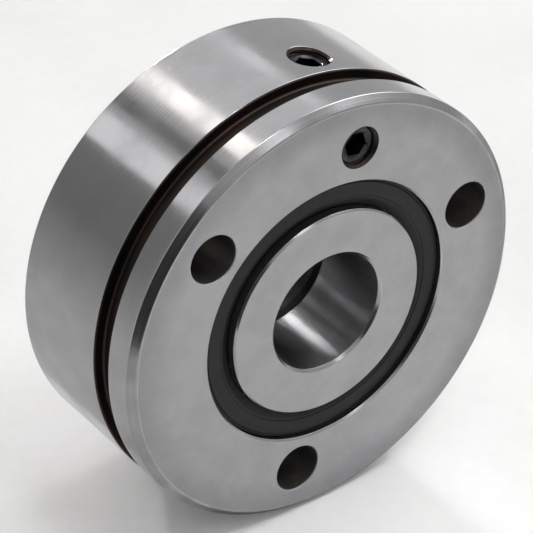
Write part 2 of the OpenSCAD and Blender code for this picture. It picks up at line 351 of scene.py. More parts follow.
def border(across, along):
    """Sides of a sampled rectangle walked once round, as pairs of (across, along)."""
    sides = [(across, along[0]), (across[-1], along), (across[::-1], along[-1]), (across[0], along[::-1])]
    return np.concatenate([np.stack(np.broadcast_arrays(*side), 1)[:-1] for side in sides])


def blend(rim, edge, rings=8, crowd=1.5):
    """Grid between a hole's rim and the edge of its field: a straight blend, closer at the rim."""
    share = (np.linspace(0, 1, rings) ** crowd)[:, None, None]
    return (1 - share) * rim + share * edge


def put(name, patches, materials, body, node):
    """Joins patches into one closed mesh that rides on a body and stands for a CAD node.

    Points are rounded to a ten-thousandth of a millimetre, and like ones become one vertex. A face
    is turned to its patch's normals, each of its corners keeps its own patch's normal, and a face
    with two like corners becomes a triangle.
    """
    names = list(materials)
    quads, zones, count = [], [], 0
    for p in patches:
        index = np.arange(p.points[..., 0].size).reshape(p.points.shape[:2]) + count
        count += index.size
        index = np.concatenate([index, index[:, :1]], 1) if p.closed else index
        cells = [index[:-1, :-1], index[1:, :-1], index[1:, 1:], index[:-1, 1:]]
        quads.append(np.stack(cells, -1).reshape(-1, 4))
        zones.append(np.full(len(quads[-1]), names.index(p.zone), np.int32))
    quads, zones = np.concatenate(quads), np.concatenate(zones)
    points, normals = (
        np.concatenate([getattr(p, key).reshape(-1, 3) for p in patches]) for key in ("points", "normals")
    )
    across, over = points[quads[:, 2]] - points[quads[:, 0]], points[quads[:, 3]] - points[quads[:, 1]]
    inside_out = (np.cross(across, over) * normals[quads].sum(1)).sum(-1) < 0
    quads[inside_out] = quads[inside_out, ::-1]
    _, first, same = np.unique(
        np.round(points * WELD_STEPS).astype(np.int64), axis=0, return_index=True, return_inverse=True
    )
    same = same.reshape(-1)
    double = same[quads] == np.roll(same[quads], -1, 1)
    whole, three = double.sum(1) == 0, double.sum(1) == 1
    loops = [quads[whole], quads[three][~double[three]].reshape(-1, 3)]
    mesh = bpy.data.meshes.new(name)
    mesh.from_pydata((points[first] * MM).tolist(), [], [f for part in loops for f in same[part].tolist()])
    mesh.polygons.foreach_set("material_index", np.concatenate([zones[whole], zones[three]]))
    mesh.polygons.foreach_set("use_smooth", np.ones(len(mesh.polygons), bool))
    worn = np.zeros(len(first), np.float32)
    np.maximum.at(worn, same, np.concatenate([p.wear.reshape(-1) for p in patches]).astype(np.float32))
    mesh.attributes.new("worn", "FLOAT", "POINT").data.foreach_set("value", worn)
    for material in materials.values():
        mesh.materials.append(material)
    mesh.update()
    mesh.normals_split_custom_set(normals[np.concatenate([part.reshape(-1) for part in loops])])
    edges = np.zeros(len(mesh.loops), np.int32)
    mesh.loops.foreach_get("edge_index", edges)
    odd = np.count_nonzero(np.bincount(edges, minlength=len(mesh.edges)) != 2)
    if odd:
        raise RuntimeError(f"{name}: {odd} edges don't join two faces")
    piece = bpy.data.objects.new(name, mesh)
    bpy.context.scene.collection.objects.link(piece)
    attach(piece, body)
    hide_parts(node)


# Finishes. Object coordinates become millimetres, so a noise scale is one over a size in mm.

NOISE_RANGE = (0.3, 0.7)  # between which most of a noise lies
FILM_RANGE = (0.7, 1.3)  # between which most of the sum of two noises lies
PATCH_DETAIL = 4.0
MARKS_DETAIL = 2.0


def add(tree, kind, inputs=None, **options):
    """Adds a node, sets its options, and sets or links its inputs by name or number."""
    node = tree.nodes.new(kind)
    for key, value in options.items():
        setattr(node, key, value)
    for key, value in (inputs or {}).items():
        if isinstance(value, bpy.types.NodeSocket):
            tree.links.new(value, node.inputs[key])
        else:
            node.inputs[key].default_value = value
    return node


def finish(name, base, tint, patch_mm, marks_mm, depth_mm, rough, spread, tone=0.05, lathe=True,
           cover=(0.4, 0.65), edge=None, fade=None, **sockets):
    """A worked surface: cloudy patches of a tint, tool or mould marks in its tone, gloss and relief.

    patch_mm is the size of the patches, marks_mm the spacing of the marks and depth_mm their depth.
    The roughness varies about rough by spread, with the marks and the patches together.
    Lathe marks run round the bearing's axis: they vary with the distance from it and along it.
    An edge colour shows where the mesh is marked as worn. With fade, the tone goes to the last value's
    share of itself between two distances from the axis, or two heights. With anisotropy, the marks
    spread what the surface mirrors along the axis.
    """
    material = bpy.data.materials.new(name)
    material.use_nodes = True
    tree = material.node_tree
    shader = tree.nodes["Principled BSDF"]
    place = add(tree, "ShaderNodeTexCoord").outputs["Object"]
    mm = add(tree, "ShaderNodeVectorMath", {0: place, "Scale": 1 / MM}, operation="SCALE").outputs[0]
    part = add(tree, "ShaderNodeSeparateXYZ", {0: mm}).outputs
    flat = add(tree, "ShaderNodeCombineXYZ", {0: part[0], 1: part[2]}).outputs[0]
    away = add(tree, "ShaderNodeVectorMath", {0: flat}, operation="LENGTH").outputs["Value"]
    run = add(tree, "ShaderNodeCombineXYZ", {0: away, 1: part[1]}).outputs[0] if lathe else mm
    cloud_in = {"Vector": mm, "Scale": 1 / patch_mm, "Detail": PATCH_DETAIL}
    marks_in = {"Vector": run, "Scale": 1 / marks_mm, "Detail": MARKS_DETAIL}
    cloud = add(tree, "ShaderNodeTexNoise", cloud_in).outputs[0]
    marks = add(tree, "ShaderNodeTexNoise", marks_in).outputs[0]
    mask = add(tree, "ShaderNodeMapRange", {0: cloud, 1: cover[0], 2: cover[1]}).outputs[0]
    mixed = add(tree, "ShaderNodeMix", {0: mask, 6: (*base, 1), 7: (*tint, 1)}, data_type="RGBA").outputs[2]
    dark, light = NOISE_RANGE
    shades = {0: marks, 1: dark, 2: light, 3: 1 - tone, 4: 1 + tone}
    shade = add(tree, "ShaderNodeMapRange", shades).outputs[0]
    mixed = add(tree, "ShaderNodeVectorMath", {0: mixed, "Scale": shade}, operation="SCALE").outputs[0]
    if fade:
        measure, start, end, share = fade
        level = {"distance": away, "height": part[2]}[measure]
        level = add(tree, "ShaderNodeMapRange", {0: level, 1: start, 2: end, 3: 1.0, 4: share}).outputs[0]
        mixed = add(tree, "ShaderNodeVectorMath", {0: mixed, "Scale": level}, operation="SCALE").outputs[0]
    if edge:
        worn = add(tree, "ShaderNodeAttribute", attribute_name="worn").outputs["Fac"]
        rub = add(tree, "ShaderNodeMath", {0: worn, 1: cloud}, operation="MULTIPLY").outputs[0]
        mixed = add(tree, "ShaderNodeMix", {0: rub, 6: mixed, 7: (*edge, 1)}, data_type="RGBA").outputs[2]
    film = add(tree, "ShaderNodeMath", {0: marks, 1: cloud}).outputs[0]
    thin, thick = FILM_RANGE
    glosses = {0: film, 1: thin, 2: thick, 3: rough - spread, 4: rough + spread}
    gloss = add(tree, "ShaderNodeMapRange", glosses).outputs[0]
    relief = add(tree, "ShaderNodeBump", {"Strength": 1.0, "Distance": depth_mm * MM, "Height": marks})
    tree.links.new(mixed, shader.inputs["Base Color"])
    tree.links.new(gloss, shader.inputs["Roughness"])
    tree.links.new(relief.outputs[0], shader.inputs["Normal"])
    if "Anisotropic" in sockets:
        round_axis = add(tree, "ShaderNodeTangent", direction_type="RADIAL", axis="Y").outputs[0]
        tree.links.new(round_axis, shader.inputs["Tangent"])
    for key, value in sockets.items():
        shader.inputs[key.replace("_", " ")].default_value = value
    return material


def ring_finishes(f):
    """Finishes of the hardened bearing-steel rings, by zone."""
    return {
        # Ground round the axis: a bright, nearly mirror-like skin; the lines, really a few
        # hundredths of a millimetre apart, are drawn coarser so that they show
        "ground": finish("GroundBearingSteel", f.steel, f.steel_dull,
                         patch_mm=6.0, marks_mm=0.25, depth_mm=0.0002, rough=0.17, spread=0.08,
                         tone=0.03, edge=f.edge, Metallic=1.0),
        # Face ground on a flat grinder: a satin grey that blurs what it mirrors, slightly cloudy; painted
        # shade darkens it towards the outer ring's rim, in place of a broader rounding there
        "face": finish("FaceGroundBearingSteel", f.face, f.face_dull,
                       patch_mm=3.5, marks_mm=0.22, depth_mm=0.002, rough=0.42, spread=0.05,
                       lathe=False, edge=f.edge, fade=("distance", 25.5, 29.0, 0.8), Metallic=1.0),
        # Turned before hardening: duller and darker than the ground skin
        "chamfer": finish("TurnedBearingSteel", f.chamfer, f.chamfer_dull,
                          patch_mm=4.0, marks_mm=0.3, depth_mm=0.0006, rough=0.2, spread=0.04,
                          Metallic=1.0, Specular_Tint=(0.4, 0.4, 0.4, 1.0)),
        # Turned groove and tapped holes, left black by hardening, with brown dried oil in them
        "oiled": finish("OiledTurnedSteel", f.oiled, f.oil_tint,
                        patch_mm=5.0, marks_mm=0.4, depth_mm=0.003, rough=0.38, spread=0.08,
                        tone=0.12, Metallic=0.9),
        # Turned and left black by hardening: dull, with a film of oil; on the rear ring's bore beside the
        # split it is painted shade, drawn black where the bore shows dark
        "scaled": finish("ScaledTurnedSteel", f.scaled, f.scaled_dull,
                         patch_mm=3.0, marks_mm=0.4, depth_mm=0.003, rough=0.38, spread=0.08,
                         tone=0.12, Metallic=0.9),
        # Drilled before hardening: grey scale with faint brown patches
        "drilled": finish("DrilledScaledSteel", f.drilled, f.drilled_brown,
                          patch_mm=3.0, marks_mm=0.5, depth_mm=0.004, rough=0.4, spread=0.08,
                          tone=0.12, Metallic=0.9),
        # Honed bore: darker than the ground skin, fine lines round the axis
        "bore": finish("HonedBearingSteel", f.bore, f.bore_dull,
                       patch_mm=5.0, marks_mm=0.3, depth_mm=0.0006, rough=0.32, spread=0.04,
                       tone=0.04, edge=f.edge, Metallic=1.0, Anisotropic=0.9, Anisotropic_Rotation=0.25),
    }


# Pieces


def race_at(s, sign):
    """Centre of a raceway's section: the ball centre moved along the contact line."""
    across, along = math.cos(CONTACT_ANGLE), math.sin(CONTACT_ANGLE)
    shift = sign * s.race_shift
    return np.array([s.pitch_r + shift * across, s.row_offset - shift * along])


def meet(centre, radius, at, side):
    """Height at which a raceway's section crosses a cylinder, on one side of its centre."""
    return centre[1] + side * math.sqrt(radius**2 - (at - centre[0]) ** 2)


def ring_turns(s):
    """Turns of the rings' points, evenly spaced from the lubrication holes."""
    return s.lube_angle + np.arange(TURNS) * 2 * math.pi / TURNS


def face_place(s, turn):
    """Mouth of a hole in the front face: its centre, outwards and round the axis, and inwards."""
    centre = turned(s.circle_d / 2, -s.half_w, turn)
    return centre, turned(1.0, 0.0, turn), turned(1.0, 0.0, turn + math.pi / 2), Y


def barrel_place(s):
    """Mouth of the radial lubrication hole: its centre, round the axis, along it, and inwards."""
    out = turned(1.0, 0.0, s.lube_angle)
    return s.outer_r * out, turned(1.0, 0.0, s.lube_angle + math.pi / 2), Y, -out


def lube_hole(s, place, around, skin, bend=None):
    """Threaded blind hole with a drill point, countersunk at its mouth, whose skin comes last."""
    minor = s.thread_r - s.thread_in
    top, bottom = s.thread_in, s.screw_recess + s.thread_past
    point = (0, s.thread_depth + DRILL_POINT * s.thread_r)
    deep = [point, (s.thread_r, s.thread_depth), (s.thread_r, bottom + s.thread_step), (minor, bottom)]
    mouth = [(minor, top), (s.thread_r, 0), (s.thread_r + s.hole_rim, 0)]
    groove = HOLE_THREAD * s.thread_in
    patches = revolve(section(deep, [0, s.drill_round, 0, 0], ["oiled"] * 3), around, place)
    patches.append(thread(place, around, minor, groove, top, bottom, s.pitch, "oiled", -1.0))
    return patches + revolve(section(mouth, [0, s.rim_round, 0], ["oiled", skin]), around, place, bend)


def fixing_hole(s, place, around):
    """Plain hole through the ring with rounded rims, walked from the rear face to the front."""
    wide, depth = s.fixing_r + s.hole_rim, 2 * s.half_w
    walk = [(wide, depth), (s.fixing_r, depth), (s.fixing_r, 0), (wide, 0)]
    rounds = [0, s.hole_edge, s.hole_edge, 0]
    return revolve(section(walk, rounds, ["face", "drilled", "face"]), around, place)


def field(s, turns, at, radii):
    """Edge of the field round a hole in a face: its points' radii and turns, and the angles the
    hole sees them at, measured from the way outwards to the way round the axis."""
    edge = border(radii, np.take(turns, range(at - FIELD, at + FIELD + 1), mode="wrap"))
    seen = turned(edge[:, 0], 0.0, edge[:, 1] - turns[at])
    return edge, np.arctan2(seen[:, 2], seen[:, 0] - s.circle_d / 2)


def plain_face(turns, radii, height, normal, holes):
    """Grids of a face between the fields of its holes."""
    taken = np.concatenate([np.arange(at - FIELD, at + FIELD) for at in holes]) % TURNS
    free = np.setdiff1d(np.arange(TURNS), taken)
    patches = []
    for run in np.split(free, np.flatnonzero(np.diff(free) > 1) + 1):
        span = np.take(turns, np.append(run, run[-1] + 1), mode="wrap")
        grid = turned(radii[:, None], height, span)
        patches.append(patch(grid, normal, "face", closed=False))
    return patches


class BEARING_OT_outer_ring(bpy.types.Operator):
    """Outer ring with its groove, fixing holes and threaded lubrication holes"""

    bl_idname = "bearing.outer_ring"
    bl_label = "Outer Ring"

    def execute(self, context):
        s = settings(context.scene.bearing_sizes)
        race = race_at(s, -1)
        out, rib = meet(race, s.race_r, s.seat_r, 1), meet(race, s.race_r, s.rib_r, -1)
        w, groove = s.half_w, s.groove_lip - s.half_w
        bead = w - s.seal_recess - s.seal_t / 2
        lip, cut = s.groove_edge, s.outer_r - s.groove_edge
        deep = s.seat_r + s.bead_depth
        b0, b1 = bead - s.bead_w / 2, bead + s.bead_w / 2
        walk = [
            # corner, rounding, zone of the side that follows
            ((s.seat_r + s.edge_break, -w), s.break_round, "front"),
            ((s.outer_r - s.outer_chamfer, -w), s.face_round, "chamfer"),
            ((s.outer_r, s.outer_chamfer - w), s.side_round, "ground"),
            ((s.outer_r, groove - lip), s.rim_round, "oiled"),
            ((cut, groove), s.rim_round, "oiled"),
            ((s.groove_r, groove), s.groove_round, "oiled"),
            ((s.groove_r, groove + s.groove_w), s.groove_round, "oiled"),
            ((cut, groove + s.groove_w), s.rim_round, "oiled"),
            ((s.outer_r, groove + s.groove_w + lip), s.rim_round, "barrel"),
            ((s.outer_r, w - s.outer_chamfer), s.side_round, "chamfer"),
            ((s.outer_r - s.outer_chamfer, w), s.face_round, "rear"),
            ((s.seat_r + s.edge_break, w), s.break_round, "chamfer"),
            ((s.seat_r, w - s.edge_break), s.break_round, "chamfer"),
            ((s.seat_r, b1), 0.0, "chamfer"),
            ((deep, b1), 0.0, "chamfer"),
            ((deep, b0), 0.0, "chamfer"),
            ((s.seat_r, b0), 0.0, "chamfer"),
            ((s.seat_r, out), 0.0, "ground"),
            ((s.rib_r, rib), 0.0, "chamfer"),
            ((s.rib_r, -rib), 0.0, "ground"),
            ((s.seat_r, -out), 0.0, "chamfer"),
            ((s.seat_r, -b0), 0.0, "chamfer"),
            ((deep, -b0), 0.0, "chamfer"),
            ((deep, -b1), 0.0, "chamfer"),
            ((s.seat_r, -b1), 0.0, "chamfer"),
            ((s.seat_r, s.edge_break - w), s.break_round, "chamfer"),
        ]
        corners, radii, zones = zip(*walk)
        # Sides of the walk that are raceways, counted from its first
        rear_race, front_race = 17, 19
        strips = section(corners, radii, zones, {rear_race: race, front_race: race * (1, -1)})
        turns = ring_turns(s)
        # The fixing holes lie a sixth, a half and five sixths of a turn from the lubrication holes
        fixing = [at * TURNS // 6 for at in (1, 3, 5)]
        patches = []
        for points, normals, zone, worn in strips:
            if zone not in ("front", "rear", "barrel"):
                patches += revolve([(points, normals, zone, worn)], turns)
            elif np.ndim(worn):
                skin = "ground" if zone == "barrel" else "face"
                patches += revolve([(points, normals, skin, worn)], turns)
            elif zone == "barrel":
                patches += self.barrel(s, turns, points[0, 1], points[1, 1])
            else:
                radial = np.linspace(*sorted(points[:, 0]), FACE_ROWS)
                holes = [0, *fixing] if zone == "front" else fixing
                patches += plain_face(turns, radial, points[0, 1], normals[0, 1] * Y, holes)
        for at in [0, *fixing]:
            edge, seen = field(s, turns, at, radial)
            place = face_place(s, turns[at])
            hole = fixing_hole(s, place, seen) if at else lube_hole(s, place, seen, "face")
            patches += hole
            ends = [(hole[-1].points[-1], -w, -Y)] + [(hole[0].points[0], w, Y)] * (at > 0)
            for rim, height, normal in ends:
                patches.append(patch(blend(rim, turned(edge[:, 0], height, edge[:, 1])), normal, "face"))
        put("OuterRing", patches, ring_finishes(settings(context.scene.bearing_finishes)),
            "outer_set", "outer_ring")
        return {"FINISHED"}

    @staticmethod
    def barrel(s, turns, low, high):
        """Outside behind the groove: a field round the radial hole, blended in turn and height."""
        sides = BARREL_ROWS
        heights = np.linspace(low, -low, sides)
        near = turns[0] + np.arange(1 - sides, sides) * 2 * math.pi / TURNS
        edge = border(near, heights)
        seen = np.arctan2(edge[:, 1], s.outer_r * np.sin(edge[:, 0] - turns[0]))
        hole = lube_hole(s, barrel_place(s), seen, "ground", bend=(s.outer_r, s.thread_in))
        wide = s.thread_r + s.hole_rim
        rim = np.stack([turns[0] + np.arcsin(wide * np.cos(seen) / s.outer_r), wide * np.sin(seen)], 1)
        grid = blend(rim, edge)
        rest = turns[sides - 1 : TURNS - sides + 2]
        return hole + [
            patch(turned(s.outer_r, grid[..., 1], grid[..., 0]), turned(1.0, 0.0, grid[..., 0]), "ground"),
            patch(turned(s.outer_r, heights[:, None], rest), turned(1.0, 0.0, rest), "ground", closed=False),
            patch(turned(s.outer_r, np.array([[-low], [high]]), turns), turned(1.0, 0.0, turns), "ground"),
        ]


class BEARING_OT_inner_rings(bpy.types.Operator):
    """Two inner rings that meet in the middle of the bore"""

    bl_idname = "bearing.inner_rings"
    bl_label = "Inner Rings"

    def execute(self, context):
        s = settings(context.scene.bearing_sizes)
        materials = ring_finishes(settings(context.scene.bearing_finishes))
        race = race_at(s, 1)
        walk = [
            # corner, rounding, zone of the side that follows, from the middle plane to the face
            ((s.bore_r + s.split_chamfer, 0), s.split_round, "ground"),
            ((s.land_r, 0), 0.0, "chamfer"),
            ((s.land_r, meet(race, s.race_r, s.land_r, -1)), 0.0, "ground"),
            ((s.shoulder_r, meet(race, s.race_r, s.shoulder_r, 1)), 0.0, "ground"),
            ((s.shoulder_r, s.half_w - s.edge_break), s.shoulder_round, "chamfer"),
            ((s.shoulder_r - s.edge_break, s.half_w), s.shoulder_round, "face"),
            ((s.bore_r + s.bore_chamfer, s.half_w), s.mouth_round, "chamfer"),
            ((s.bore_r, s.half_w - s.bore_chamfer), s.bore_round, "bore"),
            ((s.bore_r, s.split_chamfer + s.shade_band_w), 0.0, "band"),
            ((s.bore_r, s.split_chamfer), s.bore_round, "scaled"),
        ]
        corners, radii, zones = zip(*walk)
        # Side of the walk that is a raceway, counted from its first
        raceway = 2
        origin, one, two, axis = BEARING_AXIS
        # The band beside the split is plain bore in the front ring; in the rear ring it is painted shade,
        # drawn in the black scaled finish
        for name, way, band in (("front", -1.0, "bore"), ("rear", 1.0, "scaled")):
            sides = [band if zone == "band" else zone for zone in zones]
            strips = section(corners, radii, sides, {raceway: race})
            patches = revolve(strips, ring_turns(s), (origin, one, two, way * axis))
            put(f"InnerRing{name.title()}", patches, materials,
                "inner_set", f"inner_ring_{name}")
        return {"FINISHED"}


class BEARING_OT_seals(bpy.types.Operator):
    """Rubber of the two seals: bead in the outer ring, sloping lip on the inner ring"""

    bl_idname = "bearing.seals"
    bl_label = "Seals"

    def execute(self, context):
        s = settings(context.scene.bearing_sizes)
        f = settings(context.scene.bearing_finishes)
        # Black nitrile rubber, moulded: matt, with faint flow rings and a grey bloom
        rubber = finish("MouldedNitrileRubber", f.rubber, f.rubber_bloom,
                        patch_mm=2.5, marks_mm=0.3, depth_mm=0.006, rough=0.52, spread=0.08,
                        tone=0.1, edge=f.rubber_bloom, Specular_IOR_Level=0.3)
        top = s.half_w - s.seal_recess
        end, step = top - s.seal_t, top - s.seal_rim
        out, lip = s.seat_r - s.seal_gap, s.shoulder_r + s.lip_gap
        slope = lip + s.lip_slope
        bead = (top + end) / 2
        half_bead = s.bead_w / 2 - s.seal_gap
        plate = end + s.plate_t + s.bond_gap
        plate_out, plate_in = out - s.plate_edge + s.bond_gap, lip + s.lip_root + s.plate_edge - s.bond_gap
        walk = [
            # corner, rounding, from the lip's tip round the back to the front
            ((lip, top - s.lip_drop), s.break_round),
            ((lip + s.lip_root, end), s.break_round),
            ((plate_in, end), 0.0),
            ((plate_in, plate), 0.0),
            ((plate_out, plate), 0.0),
            ((plate_out, end), 0.0),
            ((out, end), s.break_round),
            ((out, bead - half_bead), 0.0),
            ((out + s.bead_depth, bead - half_bead), s.bead_round),
            ((out + s.bead_depth, bead + half_bead), s.bead_round),
            ((out, bead + half_bead), 0.0),
            ((out, step), s.crest_round),
            ((out - s.rim_out, step), s.foot_round),
            ((out - s.rim_out - s.rim_slope, top), s.crest_round),
            ((slope + s.rim_in + s.rim_slope, top), s.crest_round),
            ((slope + s.rim_in, step), s.foot_round),
            ((slope, step), s.bead_round),
        ]
        corners, radii = zip(*walk)
        strips = section(corners, radii, ["rubber"] * len(walk))
        origin, one, two, axis = BEARING_AXIS
        for name, way in (("front", -1.0), ("rear", 1.0)):
            patches = revolve(strips, ring_turns(s), (origin, one, two, way * axis))
            put(f"Seal{name.title()}", patches, {"rubber": rubber},
                "outer_set", f"{name}_seal_rubber")
        return {"FINISHED"}


class BEARING_OT_screws(bpy.types.Operator):
    """Two grub screws with hexagon sockets in the lubrication holes"""

    bl_idname = "bearing.screws"
    bl_label = "Lubrication Screws"

    def execute(self, context):
        s = settings(context.scene.bearing_sizes)
        f = settings(context.scene.bearing_finishes)
        # Steel blackened in a hot bath: dark, half gloss, thin and paler along its edges
        oxide = finish("BlackOxideSteel", f.oxide, f.oxide_worn,
                       patch_mm=1.5, marks_mm=0.25, depth_mm=0.004, rough=0.34, spread=0.06,
                       tone=0.08, lathe=False, edge=f.edge, Metallic=1.0)
        radius, top = s.thread_r - s.screw_gap, s.screw_recess
        end, small = top + s.screw_len, radius - s.screw_chamfer
        upper, lower = top + s.screw_chamfer, end - s.screw_chamfer
        # Points round the socket: each flat from corner to corner, so corners come twice
        flat = np.linspace(-math.pi / 6, math.pi / 6, FLAT_POINTS)
        around = (np.arange(6)[:, None] * math.pi / 3 + flat).reshape(-1)
        hexagon = s.socket_w / 2 / np.cos(np.tile(flat, 6))
        mouth, point = SOCKET_MOUTH * s.socket_w, SOCKET_POINT * s.socket_w
        sunk, bottom = top + s.mouth_depth, top + s.socket_depth
        share = np.linspace(0, 1, SOCKET_ROWS)[:, None]
        rounds = [0, s.screw_round, 0]
        head = section([(mouth, top), (small, top), (radius, upper)], rounds, ["oxide"] * 2)
        tail = section([(radius, lower), (small, end), (0, end)], rounds, ["oxide"] * 2)
        drilled = section([(0, bottom + s.point_depth), (point, bottom)], [0, 0], ["oxide"])
        slope = mouth + share * (hexagon - mouth)
        floor = hexagon + share * (point - hexagon)
        for name, node, place in (
            ("AxialLubeScrew", "axial_lube_screw", face_place(s, s.lube_angle)),
            ("RadialLubeScrew", "radial_lube_screw", barrel_place(s)),
        ):
            patches = revolve(head, around, place) + revolve(tail, around, place)
            patches += [
                thread(place, around, radius, s.screw_thread, upper, lower, s.pitch, "oxide", 1.0),
                wall(place, around, slope, top + s.mouth_depth * share, "oxide", -1.0, -1.0),
                wall(place, around, hexagon, np.array([[sunk], [bottom]]), "oxide", -1.0),
                wall(place, around, floor, bottom, "oxide", lean=-1.0),
            ]
            patches += revolve(drilled, around, place)
            put(name, patches, {"oxide": oxide}, "outer_set", node)
        return {"FINISHED"}


class BEARING_OT_inner_parts(bpy.types.Operator):
    """Finishes of the balls, cages and seal plates, whose solids stay as they are"""

    bl_idname = "bearing.inner_parts"
    bl_label = "Balls, Cages and Plates"

    def execute(self, context):
        f = settings(context.scene.bearing_finishes)
        # Lapped chromium steel: mirror bright, with a trace of grease
        ball = finish("LappedChromiumSteel", f.ball, f.ball_dull,
                      patch_mm=2.0, marks_mm=0.2, depth_mm=0.0002, rough=0.08, spread=0.02,
                      tone=0.01, lathe=False, Metallic=1.0)
        # Glass-filled nylon, injection moulded: ivory, waxy, with fibres near the surface
        nylon = finish("MouldedGlassNylon", f.nylon, f.nylon_dull,
                       patch_mm=1.2, marks_mm=0.3, depth_mm=0.005, rough=0.48, spread=0.08, lathe=False)
        # Cold-rolled strip, pressed: grey, with lines round the axis from the press tool
        sheet = finish("PressedStripSteel", f.sheet, f.sheet_dull,
                       patch_mm=3.0, marks_mm=0.3, depth_mm=0.001, rough=0.34, spread=0.06, Metallic=1.0)
        kinds = {"ball": ball, "cage": nylon, "plate": sheet}
        for name, piece in frame["nodes"].items():
            for kind, material in kinds.items():
                if kind in name:
                    piece.data.materials.clear()
                    piece.data.materials.append(material)
        return {"FINISHED"}


# Stage values, in metres. A turn goes round the bearing's axis from X to Z, in degrees. A way is a
# direction from what a panel faces.

FLOOR_HALF = 3.0
WORLD_GLOW = 0.54
CARD_AWAY = 0.13
LAMP_AWAY = 0.5
# Leans, in degrees from the middle plane, between which the outside mirrors a panel
LEAN_FIRST, LEAN_LAST = 22.0, 60.0
# Cards that the outside mirrors: first and last turn
GREY_CARD = (133, 198)
STRIP_CARD = (109, 116)
# Card that the front chamfer mirrors: way, distance, size
BLACK_CARD = ((-0.66, -0.73, 0.1), CARD_AWAY, 0.13)
# Grey card just over the floor left of the bearing, seen only in mirrors, painted shade of the floor there:
# west, east, south and north sides, and its height
FLOOR_SHADE_CARD = (-0.17, -0.027, -0.06, 0.15)
FLOOR_SHADE_CARD_OVER = 0.0002
# Height in mm below which a grey card is painted paler, a painted gradient of light, and how many times paler
# it is at the floor
PALE_BELOW, PALE_BY = 30.0, 2.6
# Strip lamps that the outside mirrors: glow, first and last turn
STRIP_LAMPS = ((0.55, 47, 53), (0.28, 55, 86), (0.6, 119, 133))
WARM_LAMP = (1.44, 88, 96.5)
# Square lamps: glow, way, distance, size
SQUARE_LAMPS = ((1.5, (0.142, -0.682, 0.716), 0.6, 0.13), (2.8, (0.68, -0.04, 0.73), 0.55, 0.4))
# Gridded lamps: glow, way, distance, size, spread in degrees
BORE_LAMP = (560.0, (0.27, 0.94, 0.235), 0.5, 0.06, 10.0)
FLOOR_LAMP = (27.0, (0.05, -0.35, 0.94), 0.45, 0.1, 20.0)
FLOOR_LAMP_AIM = (-0.02, -0.034)
# Camera: lens and sensor in mm, turn from the front and rise in degrees, and its place in mm back
# from the origin, to the right and up
LENS, SENSOR = 188.36, 36.0
CAMERA_TURN, CAMERA_RISE = -36.617, 35.143
CAMERA_BACK, CAMERA_RIGHT, CAMERA_UP = 368.75, -0.514, 0.228


